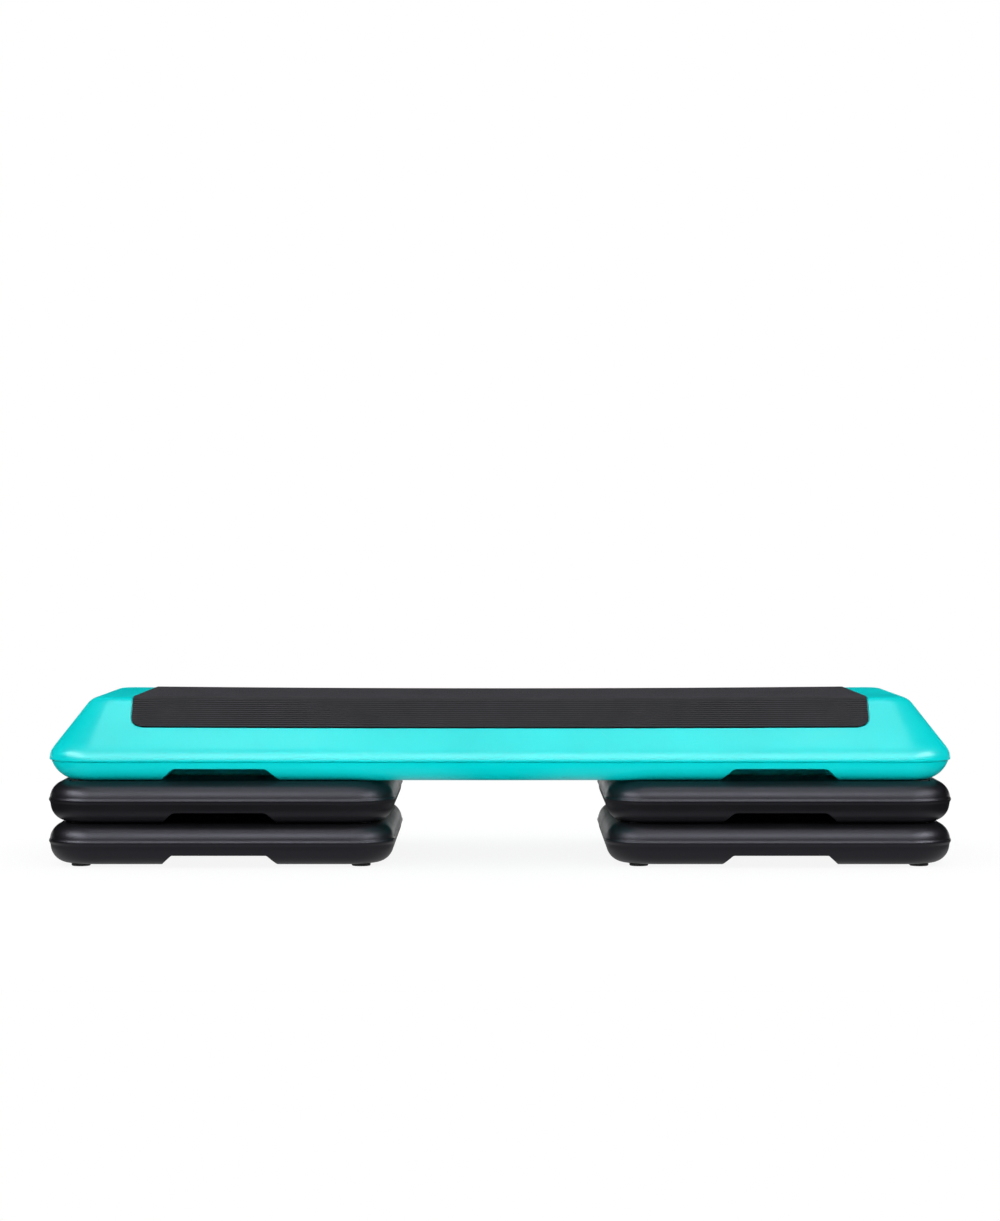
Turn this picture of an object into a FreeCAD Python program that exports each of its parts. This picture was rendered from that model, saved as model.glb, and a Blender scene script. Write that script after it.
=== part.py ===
import FreeCAD
import Part
import Sketcher
import math
import os
import re

# Aerobic step platform on four stacked risers.
# Millimetres. X runs along the platform, the front faces -Y, Z is up, and the origin is on the floor
# under the centre of the platform.

document = FreeCAD.newDocument("aerobic_step_platform")
sheet = document.addObject("Spreadsheet::Sheet", "Dims")

DRIVING_SIZES = {
    # The teal platform: outer size over its rim lip, and the slopes up to the crest of the deck.
    "platform_length": 1098.0,
    "platform_depth": 416.0,
    "platform_height": 100.1,
    "platform_corner": 60.0,
    "platform_wall": 4.0,
    "parting_height": 23.6,
    "platform_lip": 2.5,
    "lip_band": 8.9,
    "lip_round": 2.2,
    "lip_crown": 6.0,
    "skirt_draft": 24.0,
    "skirt_round": 34.0,
    "end_inset": 50.4,
    "side_inset": 60.0,
    "crest_corner": 25.0,
    "crest_round": 16.0,
    # The black risers: square in plan, a little larger than the platform is deep over the bead of their
    # parting rim, round above it and tapered to a round bottom edge below it.
    "riser_overhang": 3.0,
    "riser_end_overhang": 0.5,
    "riser_height": 50.0,
    "riser_corner": 60.0,
    "riser_wall": 3.0,
    "riser_rim": 26.6,
    "riser_lip": 1.6,
    "riser_lip_slope": 40.0,
    "riser_lip_round": 1.2,
    "bulge_draft": 1.0,
    "bulge_round": 23.0,
    "lower_draft": 8.0,
    "bottom_round": 22.0,
    # Hand-hold notches in the bottom edges, front and back, reaching in for a share of the depth.
    "notch_mouth": 140.0,
    "notch_roof": 112.0,
    "notch_height": 13.0,
    "platform_notch_height": 15.2,
    "notch_reach": 0.31,
    "notch_round": 8.0,
    # Tack-off pockets under the shells, welded to the wall above them.
    "tack_web": 16.0,
    "tack_side_margin": 94.0,
    "tack_end_margin": 50.0,
    "tack_corner": 16.0,
    "tack_draft": 8.0,
    # Push-in rubber feet and the dimples that seat them.
    "foot_inset": 41.0,
    "foot_radius": 11.5,
    "foot_stand": 3.2,
    "foot_edge": 0.8,
    "foot_neck": 4.0,
    "foot_barb": 4.6,
    "foot_tip": 3.0,
    "barb_length": 5.0,
    "neck_clearance": 0.1,
    "barb_clearance": 0.5,
    "dimple_clearance": 2.0,
    "seat_gap": 0.3,
    # The ribbed mat, let into the deck and down both long slopes.
    "mat_end_margin": 101.4,
    "mat_drop": 34.9,
    "mat_thickness": 3.0,
    "mat_proud": 1.2,
    "mat_corner": 14.0,
    "mat_clearance": 0.3,
    "rib_pitch": 3.2,
    "groove_width": 1.6,
    "groove_depth": 0.9,
}

for row, (alias, value) in enumerate(DRIVING_SIZES.items(), start=1):
    sheet.set(f"A{row}", alias)
    sheet.set(f"B{row}", str(value))
    sheet.setAlias(f"B{row}", alias)
document.recompute()

# Sizes that follow from the driving ones.
RISER_SIZE = "(platform_depth + 2 * riser_overhang)"
RISER_CENTRE = f"(platform_length / 2 + riser_end_overhang - {RISER_SIZE} / 2)"
NOTCH_SLANT = "((notch_mouth - notch_roof) / 2 / notch_height)"
# Pockets on either side of a notch, and the four that share the deck between the notches.
SIDE_POCKET = f"({RISER_SIZE} / 2 - tack_end_margin - notch_mouth / 2 - tack_web)"
SIDE_POCKET_OFFSET = f"(notch_mouth / 2 + tack_web + {SIDE_POCKET} / 2)"
MIDDLE_POCKETS = 4
MIDDLE_STEP = f"((2 * {RISER_CENTRE} - notch_mouth - tack_web) / {MIDDLE_POCKETS})"
STACK_STEP = "(riser_height + seat_gap)"
DIMPLE_DEPTH = "(foot_stand - seat_gap)"
DIMPLE_RADIUS = "(foot_radius + dimple_clearance)"
FOOT_OFFSET = f"({RISER_SIZE} / 2 - foot_inset)"
SLOPE_FOOT = "(parting_height + lip_band)"
SLOPE_RISE = f"(platform_height - {SLOPE_FOOT})"
SLOPE_LENGTH = f"sqrt(side_inset ^ 2 + {SLOPE_RISE} ^ 2)"
# The rounding of the crest, which the recess and the mat follow about the same centre line.
CREST_TURN = f"atan({SLOPE_RISE} / side_inset)"
CREST_RUN = f"(crest_round * ({SLOPE_LENGTH} - side_inset) / {SLOPE_RISE})"
HALF_DECK = f"(platform_depth / 2 - side_inset - {CREST_RUN})"
MAT_LENGTH = "(platform_length - 2 * mat_end_margin)"
MAT_SUNK = "(mat_thickness - mat_proud)"
# Cuts run clear of the surface they start from: the recess above the deck, the grooves past the mat's ends.
RECESS_REACH = "(4 * mat_thickness)"
GROOVE_RUN = f"(2 * {MAT_LENGTH})"
# Edges are told apart by lengths and heights to within this.
CLOSE = 0.01


def with_sheet(formula):
    """Point every size named in a formula at its cell."""
    return re.sub("|".join(rf"\b{alias}\b" for alias in DRIVING_SIZES), r"Dims.\g<0>", formula)


def size(formula):
    return float(sheet.evalExpression(formula))


def bind(target, name, formula):
    target.setExpression(name, with_sheet(formula))


def origin_part(body, role):
    return next(item for item in body.Origin.OriginFeatures if item.Role == role)


def new_body(name):
    return document.addObject("PartDesign::Body", name)


def new_sketch(body, name, role, offset="0"):
    """Make a sketch on one of the body's planes, moved along the plane's normal."""
    sketch = body.newObject("Sketcher::SketchObject", name)
    sketch.AttachmentSupport = (origin_part(body, role), [""])
    sketch.MapMode = "FlatFace"
    bind(sketch, "AttachmentOffset.Base.z", offset)
    return sketch


def constrain(sketch, formula, kind, *places):
    index = sketch.addConstraint(Sketcher.Constraint(kind, *places, size(formula)))
    sketch.setExpression(f"Constraints[{index}]", with_sheet(formula))


def fix_point(sketch, geometry, end, across, up):
    """Tie a point to the sketch origin, or to an axis where its distance is nothing."""
    for kind, axis, formula in (("DistanceX", -2, across), ("DistanceY", -1, up)):
        if formula == "0":
            sketch.addConstraint(Sketcher.Constraint("PointOnObject", geometry, end, axis))
        else:
            constrain(sketch, formula, kind, -1, 1, geometry, end)


def draw_polygon(sketch, corners):
    points = [FreeCAD.Vector(size(across), size(up), 0) for across, up in corners]
    first = sketch.GeometryCount
    count = len(points)
    for number in range(count):
        sketch.addGeometry(Part.LineSegment(points[number], points[(number + 1) % count]))
    for number in range(count):
        following = first + (number + 1) % count
        sketch.addConstraint(Sketcher.Constraint("Coincident", first + number, 2, following, 1))
    for number, (across, up) in enumerate(corners):
        fix_point(sketch, first + number, 1, across, up)


def draw_guide(sketch, start, finish):
    """Draw a construction line between two points and give it as a direction."""
    begin, end = (FreeCAD.Vector(size(across), size(up), 0) for across, up in (start, finish))
    line = sketch.addGeometry(Part.LineSegment(begin, end), True)
    fix_point(sketch, line, 1, *start)
    fix_point(sketch, line, 2, *finish)
    return (sketch, ["Axis0"])


def draw_circle(sketch, across, up, radius):
    centre = FreeCAD.Vector(size(across), size(up), 0)
    circle = sketch.addGeometry(Part.Circle(centre, FreeCAD.Vector(0, 0, 1), size(radius)))
    fix_point(sketch, circle, 3, across, up)
    constrain(sketch, radius, "Radius", circle)


def draw_rounded_rectangle(sketch, length, depth, corner, across="0", up="0"):
    """Draw four corner arcs and the straight sides between them, round a centre."""
    radius = size(corner)
    upward = FreeCAD.Vector(0, 0, 1)
    quarter = math.pi / 2
    arcs = []
    for number, (side_x, side_y) in enumerate(((1, -1), (1, 1), (-1, 1), (-1, -1))):
        middle_x = f"{across} + {side_x} * ({length} - 2 * ({corner})) / 2"
        middle_y = f"{up} + {side_y} * ({depth} - 2 * ({corner})) / 2"
        circle = Part.Circle(FreeCAD.Vector(size(middle_x), size(middle_y), 0), upward, radius)
        start = (number - 1) * quarter
        arcs.append(sketch.addGeometry(Part.ArcOfCircle(circle, start, start + quarter)))
        fix_point(sketch, arcs[-1], 3, middle_x, middle_y)
        constrain(sketch, corner, "Radius", arcs[-1])
    for number in range(4):
        following = (number + 1) % 4
        begin = sketch.getPoint(arcs[number], 2)
        finish = sketch.getPoint(arcs[following], 1)
        line = sketch.addGeometry(Part.LineSegment(begin, finish))
        sketch.addConstraint(Sketcher.Constraint("Tangent", arcs[number], 2, line, 1))
        sketch.addConstraint(Sketcher.Constraint("Tangent", line, 2, arcs[following], 1))


def extrude(body, kind, name, sketch, length, draft="0", reverse=False, both_ways=False):
    """Pad or pocket a sketch; a draft above zero narrows it on the way."""
    feature = body.newObject(f"PartDesign::{kind}", name)
    feature.Profile = sketch
    bind(feature, "Length", length)
    bind(feature, "TaperAngle", f"-({draft})")
    feature.Reversed = reverse
    if both_ways:
        feature.SideType = "Symmetric"
    before = body.Tip.BaseFeature.Shape.Volume if body.Tip.BaseFeature else 0.0
    document.recompute()
    changed = feature.Shape.Volume - before
    if (kind == "Pad") != (changed > 0):
        raise RuntimeError(f"{body.Name}.{name} changes the volume by {changed:.0f}")
    return feature


def round_edges(body, name, feature, radius, chosen):
    """Round the edges of a feature that a test picks out."""
    picked = [f"Edge{number}" for number, edge in enumerate(feature.Shape.Edges, start=1) if chosen(edge)]
    if not picked:
        raise RuntimeError(f"{body.Name}.{name} finds no edge")
    fillet = body.newObject("PartDesign::Fillet", name)
    fillet.Base = (feature, picked)
    bind(fillet, "Radius", radius)
    document.recompute()
    return fillet


def level(height):
    """Pick edges that lie flat at one height."""
    return lambda edge: max(abs(edge.BoundBox.ZMin - height), abs(edge.BoundBox.ZMax - height)) < CLOSE


def mirror(body, name, features, role):
    """Repeat features on the other side of one of the body's planes."""
    mirrored = body.newObject("PartDesign::Mirrored", name)
    mirrored.Originals = features
    mirrored.MirrorPlane = (origin_part(body, role), [""])
    body.Tip = mirrored
    document.recompute()
    return mirrored


def repeat(body, name, feature, direction, step, count):
    """Repeat a feature at equal steps along a direction."""
    pattern = body.newObject("PartDesign::LinearPattern", name)
    pattern.Originals = [feature]
    pattern.Direction = direction
    pattern.Mode = "Spacing"
    bind(pattern, "Offset", step)
    pattern.Occurrences = count
    body.Tip = pattern
    document.recompute()
    return pattern


def cut_notches(body, depth, centres, height, grow):
    """Cut trapezoid hand-holds up into the front edge, and the same into the back edge."""
    sketch = new_sketch(body, "notch_profile", "XZ_Plane", f"{depth} / 2")
    spread = f"{grow} * sqrt(1 + {NOTCH_SLANT} ^ 2)"
    half_mouth = f"(notch_roof / 2 + {height} * {NOTCH_SLANT} + {spread})"
    half_roof = f"(notch_roof / 2 + {spread} - {grow} * {NOTCH_SLANT})"
    roof = f"{height} + {grow}"
    for centre in centres:
        draw_polygon(sketch, (
            (f"{centre} - {half_mouth}", "0"),
            (f"{centre} + {half_mouth}", "0"),
            (f"{centre} + {half_roof}", roof),
            (f"{centre} - {half_roof}", roof),
        ))
    front_notches = extrude(body, "Pocket", "front_notches", sketch, f"{depth} * notch_reach + {grow}")
    return mirror(body, "back_notches", [front_notches], "XZ_Plane")


def cut_tack_offs(body, name, depth, columns, height, grow):
    """Cut tapered pockets up from the bottom face: in each column, one in front and one behind."""
    sketch = new_sketch(body, f"{name}_mouths", "XY_Plane")
    wide = f"(({depth} - tack_web) / 2 - tack_side_margin)"
    row_offset = f"({wide} + tack_web) / 2"
    for across, long in columns:
        for row_side in (-1, 1):
            draw_rounded_rectangle(
                sketch, f"({long} + 2 * {grow})", f"({wide} + 2 * {grow})", f"tack_corner + {grow}",
                across, f"{row_side} * {row_offset}",
            )
    return extrude(body, "Pocket", name, sketch, height, "tack_draft", reverse=True)


def cut_side_tack_offs(body, depth, centres, height, grow):
    """Cut the pockets on both sides of each notch."""
    columns = [
        (f"{centre} + {side} * {SIDE_POCKET_OFFSET}", SIDE_POCKET)
        for centre in centres
        for side in (-1, 1)
    ]
    cut_tack_offs(body, "side_tack_offs", depth, columns, height, grow)


def cut_platform_tack_offs(body, height, grow):
    """Cut the pockets of the platform: at its ends, and four columns between the notches."""
    ends = [(f"{side} * ({RISER_CENTRE} + {SIDE_POCKET_OFFSET})", SIDE_POCKET) for side in (-1, 1)]
    cut_tack_offs(body, "end_tack_offs", "platform_depth", ends, height, grow)
    first_x = f"-{MIDDLE_STEP} * {MIDDLE_POCKETS - 1} / 2"
    first = [(first_x, f"({MIDDLE_STEP} - tack_web)")]
    pair = cut_tack_offs(body, "middle_tack_off_pair", "platform_depth", first, height, grow)
    along = (origin_part(body, "X_Axis"), [""])
    repeat(body, "middle_tack_offs", pair, along, MIDDLE_STEP, MIDDLE_POCKETS)


def cut_circles(body, name, height, centres, radius, depth, upward):
    sketch = new_sketch(body, f"{name}_profile", "XY_Plane", height)
    for across, up in centres:
        draw_circle(sketch, across, up, radius)
    return extrude(body, "Pocket", name, sketch, depth, reverse=upward)


def pad_circles(body, name, height, centres, radius, length):
    sketch = new_sketch(body, f"{name}_profile", "XY_Plane", height)
    for across, up in centres:
        draw_circle(sketch, across, up, radius)
    extrude(body, "Pad", name, sketch, length)


def corner_places(centres):
    """List the foot places: four round each riser centre."""
    return [
        (f"{centre} + {side_x} * {FOOT_OFFSET}", f"{side_y} * {FOOT_OFFSET}")
        for centre in centres
        for side_x in (-1, 1)
        for side_y in (-1, 1)
    ]


def hollow_shell(label, outside, inside, across, height):
    """Take the cavity out of the outer form and set the shell in its place."""
    shell = document.addObject("Part::Cut", label)
    shell.Label = label
    shell.Base = outside
    shell.Tool = inside
    bind(shell, "Placement.Base.x", across)
    bind(shell, "Placement.Base.z", height)
    document.recompute()
    return shell


def riser_form(name, inset):
    """Build a riser's pillow form, drawn in by an inset: nothing outside, the wall for the cavity."""
    body = new_body(name)
    drawn_in = f"(riser_lip + {inset})"
    wall_size = f"({RISER_SIZE} - 2 * {drawn_in})"
    wall_corner = f"riser_corner - {drawn_in}"
    upper = new_sketch(body, "upper_outline", "XY_Plane", "riser_rim")
    draw_rounded_rectangle(upper, wall_size, wall_size, wall_corner)
    bulge = extrude(body, "Pad", "bulge", upper, f"riser_height - riser_rim - {inset}", "bulge_draft")
    top = size(f"riser_height - {inset}")
    round_edges(body, "bulge_edge", bulge, f"bulge_round - {inset}", level(top))
    lower = new_sketch(body, "lower_outline", "XY_Plane", "riser_rim")
    draw_rounded_rectangle(lower, wall_size, wall_size, wall_corner)
    wall = extrude(body, "Pad", "lower_wall", lower, f"riser_rim - {inset}", "lower_draft", reverse=True)
    round_edges(body, "bottom_edge", wall, f"bottom_round - {inset}", level(size(inset)))
    return body


def add_riser_lip(body):
    """Run the bead round the parting rim: a ridge that slopes back into the wall above and below."""
    for name, downward in (("lip_above", False), ("lip_below", True)):
        outline = new_sketch(body, f"{name}_outline", "XY_Plane", "riser_rim")
        draw_rounded_rectangle(outline, RISER_SIZE, RISER_SIZE, "riser_corner")
        ridge = extrude(body, "Pad", name, outline, "2 * riser_lip", "riser_lip_slope", reverse=downward)
    round_edges(body, "lip_edge", ridge, "riser_lip_round", level(size("riser_rim")))


def round_notch_roofs(body, feature, height):
    """Round the two upper corners of every notch."""
    roof = size(height)
    round_edges(
        body, "notch_corners", feature, "notch_round",
        lambda edge: level(roof)(edge) and edge.BoundBox.XLength < CLOSE,
    )


def make_riser(label, across, height):
    outside = riser_form(f"{label}_outside", "0")
    add_riser_lip(outside)
    notched = cut_notches(outside, RISER_SIZE, ["0"], "notch_height", "0")
    round_notch_roofs(outside, notched, "notch_height")
    cut_side_tack_offs(outside, RISER_SIZE, ["0"], "riser_height - 2 * riser_wall", "0")
    places = corner_places(["0"])
    cut_circles(outside, "dimples", "riser_height", places, DIMPLE_RADIUS, DIMPLE_DEPTH, False)
    cut_circles(outside, "stem_holes", "0", places, "foot_neck + neck_clearance", "2 * riser_wall", True)
    inside = riser_form(f"{label}_inside", "riser_wall")
    cut_notches(inside, RISER_SIZE, ["0"], "notch_height", "riser_wall")
    cut_side_tack_offs(inside, RISER_SIZE, ["0"], "riser_height", "riser_wall")
    cut_circles(
        inside, "dimple_backs", "riser_height - riser_wall", places,
        f"{DIMPLE_RADIUS} + riser_wall", DIMPLE_DEPTH, False,
    )
    return hollow_shell(label, outside, inside, across, height)


def platform_form(name, inset):
    """Build the platform's skirt, rim lip and slopes, drawn in by an inset."""
    body = new_body(name)
    lip = "0" if inset == "0" else "platform_lip"
    rim = new_sketch(body, "rim_outline", "XY_Plane", "parting_height")
    drawn_in = f"({inset} + {lip})"
    rim_size = (f"platform_length - 2 * {drawn_in}", f"platform_depth - 2 * {drawn_in}")
    rim_corner = f"platform_corner - {drawn_in}"
    draw_rounded_rectangle(rim, *rim_size, rim_corner)
    extrude(body, "Pad", "lip_band", rim, "lip_band")
    slope_foot = new_sketch(body, "slope_foot", "XY_Plane", SLOPE_FOOT)
    draw_rounded_rectangle(slope_foot, *rim_size, rim_corner)
    crest = new_sketch(body, "crest_outline", "XY_Plane", f"platform_height - {inset}")
    draw_rounded_rectangle(
        crest, f"platform_length - 2 * end_inset - {inset}", f"platform_depth - 2 * side_inset - {inset}",
        f"crest_corner - {inset} / 2",
    )
    slopes = body.newObject("PartDesign::AdditiveLoft", "slopes")
    slopes.Profile = slope_foot
    slopes.Sections = [crest]
    slopes.Ruled = True
    document.recompute()
    top = size(f"platform_height - {inset}")
    form = round_edges(body, "crest_edge", slopes, f"crest_round - {inset}", level(top))
    if inset == "0":
        form = round_edges(body, "lip_upper_edge", form, "lip_crown", level(size(SLOPE_FOOT)))
        round_edges(body, "lip_lower_edge", form, "lip_round", level(size("parting_height")))
    skirt_outline = new_sketch(body, "skirt_outline", "XY_Plane", "parting_height")
    draw_rounded_rectangle(
        skirt_outline, f"platform_length - 2 * platform_lip - 2 * {inset}",
        f"platform_depth - 2 * platform_lip - 2 * {inset}", f"platform_corner - platform_lip - {inset}",
    )
    skirt = extrude(body, "Pad", "skirt", skirt_outline, f"parting_height - {inset}", "skirt_draft", reverse=True)
    round_edges(body, "skirt_edge", skirt, f"skirt_round - {inset}", level(size(inset)))
    return body


def slope_point(distance, offset, side):
    """Give a point a distance down a long slope from the crest, at an offset from the surface."""
    outward = (
        f"(platform_depth / 2 - side_inset + ({distance}) * side_inset / {SLOPE_LENGTH}"
        f" + ({offset}) * {SLOPE_RISE} / {SLOPE_LENGTH})"
    )
    upward = (
        f"platform_height - ({distance}) * {SLOPE_RISE} / {SLOPE_LENGTH}"
        f" + ({offset}) * side_inset / {SLOPE_LENGTH}"
    )
    return f"{side} * {outward}", upward


def band_line(offset, drop):
    """List the corners of a line over the deck and down both slopes, at an offset from the surface."""
    crest_y = f"(platform_depth / 2 - side_inset + ({offset}) * ({SLOPE_LENGTH} - side_inset) / {SLOPE_RISE})"
    crest_z = f"platform_height + ({offset})"
    distance = f"({drop}) * {SLOPE_LENGTH} / {SLOPE_RISE}"
    front_foot = slope_point(distance, offset, -1)
    back_foot = slope_point(distance, offset, 1)
    return [front_foot, (f"-{crest_y}", crest_z), (crest_y, crest_z), back_foot]


def along_crest(offset):
    """Pick the long edges over the crests, at an offset from the deck."""
    height = size(f"platform_height + ({offset})")
    return lambda edge: level(height)(edge) and edge.BoundBox.YLength < CLOSE


def across_slope(edge):
    """Pick the straight edges square to a long slope, at the corners of the mat."""
    if edge.Curve.TypeId != "Part::GeomLine" or edge.BoundBox.XLength > CLOSE:
        return False
    run = edge.BoundBox.YLength
    rise = edge.BoundBox.ZLength
    return rise > CLOSE and abs(run / rise - size(f"{SLOPE_RISE} / side_inset")) < CLOSE


def make_platform(label):
    risers = [f"-{RISER_CENTRE}", RISER_CENTRE]
    outside = platform_form(f"{label}_outside", "0")
    places = corner_places(risers)
    pad_circles(outside, "foot_seats", "0", places, "foot_radius + foot_edge", "2 * platform_wall")
    notched = cut_notches(outside, "platform_depth", risers, "platform_notch_height", "0")
    round_notch_roofs(outside, notched, "platform_notch_height")
    cut_platform_tack_offs(outside, "platform_height - 2 * platform_wall", "0")
    cut_circles(outside, "stem_holes", "0", places, "foot_neck + neck_clearance", "2 * platform_wall", True)
    recess = new_sketch(outside, "mat_recess_profile", "YZ_Plane")
    floor_line = band_line(f"-{MAT_SUNK}", "mat_drop + mat_clearance")
    above_line = band_line(RECESS_REACH, "mat_drop + mat_clearance")
    draw_polygon(recess, floor_line + above_line[::-1])
    recess_length = f"{MAT_LENGTH} + 2 * mat_clearance"
    cut = extrude(outside, "Pocket", "mat_recess", recess, recess_length, both_ways=True)
    sunk = f"-{MAT_SUNK}"
    bent = round_edges(outside, "recess_bends", cut, f"crest_round - {MAT_SUNK}", along_crest(sunk))
    round_edges(outside, "recess_corners", bent, "mat_corner + mat_clearance", across_slope)
    inside = platform_form(f"{label}_inside", "platform_wall")
    barb_space = "foot_barb + barb_clearance"
    pad_circles(inside, "barb_spaces", "platform_wall", places, barb_space, "2 * platform_wall")
    cut_notches(inside, "platform_depth", risers, "platform_notch_height", "platform_wall")
    cut_platform_tack_offs(inside, "platform_height", "platform_wall")
    return hollow_shell(label, outside, inside, "0", f"foot_stand + 2 * {STACK_STEP}")


def groove_corners(across, surface):
    """List the corners of one V groove, pressed down from a level surface."""
    return (
        (f"{across} - groove_width / 2", surface),
        (across, f"{surface} - groove_depth"),
        (f"{across} + groove_width / 2", surface),
    )


def press_deck_grooves(body):
    """Press the grooves of the flat deck, between the two bends."""
    steps = round(size(HALF_DECK) / size("rib_pitch"))
    step = f"({HALF_DECK} / {steps})"
    sketch = new_sketch(body, "deck_groove", "YZ_Plane")
    draw_polygon(sketch, groove_corners(f"-{steps - 1} * {step}", "platform_height + mat_proud"))
    groove = extrude(body, "Pocket", "deck_groove_cut", sketch, GROOVE_RUN, both_ways=True)
    along = (origin_part(body, "Y_Axis"), [""])
    repeat(body, "deck_grooves", groove, along, step, 2 * steps - 1)


def press_bend_grooves(body, name, side):
    """Press the grooves over one crest, turned about the centre line of its bend."""
    radius = "crest_round + mat_proud"
    sketch = new_sketch(body, f"{name}_bend_groove", "YZ_Plane")
    bind(sketch, "AttachmentOffset.Base.x", f"{side} * {HALF_DECK}")
    bind(sketch, "AttachmentOffset.Base.y", "platform_height - crest_round")
    draw_polygon(sketch, groove_corners("0", radius))
    groove = extrude(body, "Pocket", f"{name}_bend_groove_cut", sketch, GROOVE_RUN, both_ways=True)
    turned = body.newObject("PartDesign::PolarPattern", f"{name}_bend_grooves")
    turned.Originals = [groove]
    turned.Axis = (sketch, ["N_Axis"])
    turned.Mode = "Extent"
    bind(turned, "Angle", CREST_TURN)
    turn = math.atan2(size(SLOPE_RISE), size("side_inset"))
    turned.Occurrences = round(size(radius) * turn / size("rib_pitch")) + 1
    turned.Reversed = side > 0
    body.Tip = turned
    document.recompute()


def press_slope_grooves(body, name, side):
    """Press the grooves of one slope, from the bend down to the mat's edge."""
    first = f"({CREST_RUN} + rib_pitch)"
    sketch = new_sketch(body, f"{name}_slope_groove", "YZ_Plane")
    draw_polygon(sketch, (
        slope_point(f"{first} - groove_width / 2", "mat_proud", side),
        slope_point(first, "mat_proud - groove_depth", side),
        slope_point(f"{first} + groove_width / 2", "mat_proud", side),
    ))
    guide_ends = [slope_point(distance, "mat_proud", side) for distance in (CREST_RUN, first)]
    down_slope = draw_guide(sketch, *guide_ends)
    groove = extrude(body, "Pocket", f"{name}_slope_groove_cut", sketch, GROOVE_RUN, both_ways=True)
    run = size(f"mat_drop * {SLOPE_LENGTH} / {SLOPE_RISE} - {CREST_RUN}")
    repeat(body, f"{name}_slope_grooves", groove, down_slope, "rib_pitch", int(run / size("rib_pitch")) - 1)


def make_mat(label):
    """Build the mat as one bent sheet, then press its lengthwise grooves."""
    body = new_body(label)
    section = new_sketch(body, "section", "YZ_Plane")
    sunk = f"-{MAT_SUNK}"
    under = band_line(sunk, "mat_drop")
    over = band_line("mat_proud", "mat_drop")
    draw_polygon(section, under + over[::-1])
    sheet_pad = extrude(body, "Pad", "bent_sheet", section, MAT_LENGTH, both_ways=True)
    bent = round_edges(body, "outer_bends", sheet_pad, "crest_round + mat_proud", along_crest("mat_proud"))
    bent = round_edges(body, "inner_bends", bent, f"crest_round - {MAT_SUNK}", along_crest(sunk))
    round_edges(body, "corners", bent, "mat_corner", across_slope)
    press_deck_grooves(body)
    for name, side in (("front", -1), ("back", 1)):
        press_bend_grooves(body, name, side)
        press_slope_grooves(body, name, side)
    bind(body, "Placement.Base.z", f"foot_stand + 2 * {STACK_STEP}")
    return body


def make_foot(label, wall, across, along, height):
    """Turn one foot: a disc below the shell, a neck through its wall and a barb inside."""
    body = new_body(label)
    profile = new_sketch(body, "half_section", "XZ_Plane")
    shoulder = f"{wall} + barb_clearance"
    draw_polygon(profile, (
        ("0", "-foot_stand"),
        ("foot_radius - foot_edge", "-foot_stand"),
        ("foot_radius", "-foot_stand + foot_edge"),
        ("foot_radius", "0"),
        ("foot_neck", "0"),
        ("foot_neck", shoulder),
        ("foot_barb", shoulder),
        ("foot_tip", f"{shoulder} + barb_length"),
        ("0", f"{shoulder} + barb_length"),
    ))
    turned = body.newObject("PartDesign::Revolution", "turned")
    turned.Profile = profile
    turned.ReferenceAxis = (profile, ["V_Axis"])
    turned.Angle = 360
    bind(body, "Placement.Base.x", across)
    bind(body, "Placement.Base.y", along)
    bind(body, "Placement.Base.z", height)
    return body


pieces = [make_platform("platform_shell"), make_mat("grip_mat")]
SIDES = (("left", -1), ("right", 1))
ENDS = (("front", -1), ("rear", 1))
for side, sign in SIDES:
    centre = f"({sign} * {RISER_CENTRE})"
    for tier, height in (("lower", "foot_stand"), ("upper", f"foot_stand + {STACK_STEP}")):
        pieces.append(make_riser(f"{side}_{tier}_riser", centre, height))
    stack = (
        (f"{side}_lower_riser", "riser_wall", "foot_stand"),
        (f"{side}_upper_riser", "riser_wall", f"foot_stand + {STACK_STEP}"),
        (f"{side}_platform", "platform_wall", f"foot_stand + 2 * {STACK_STEP}"),
    )
    for owner, wall, height in stack:
        for end, end_sign in ENDS:
            for place, outward in (("outer", 1), ("inner", -1)):
                across = f"{centre} + {sign * outward} * {FOOT_OFFSET}"
                along = f"{end_sign} * {FOOT_OFFSET}"
                pieces.append(make_foot(f"{owner}_foot_{end}_{place}", wall, across, along, height))
document.recompute()

for item in document.Objects:
    if "Invalid" in item.State or "Error" in item.State:
        raise RuntimeError(f"{item.Label} did not build: {item.State}")
for piece in pieces:
    if piece.Shape.isNull() or not piece.Shape.isValid() or len(piece.Shape.Solids) != 1:
        raise RuntimeError(f"{piece.Label} is not one sound solid")

os.makedirs("parts", exist_ok=True)
for piece in pieces:
    piece.Shape.exportStep(f"parts/{piece.Label}.step")
    print(f"{piece.Label}: {piece.Shape.Volume / 1000:.1f} cm3")
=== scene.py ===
import math

import bmesh
import bpy
from mathutils import Matrix, Vector


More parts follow.
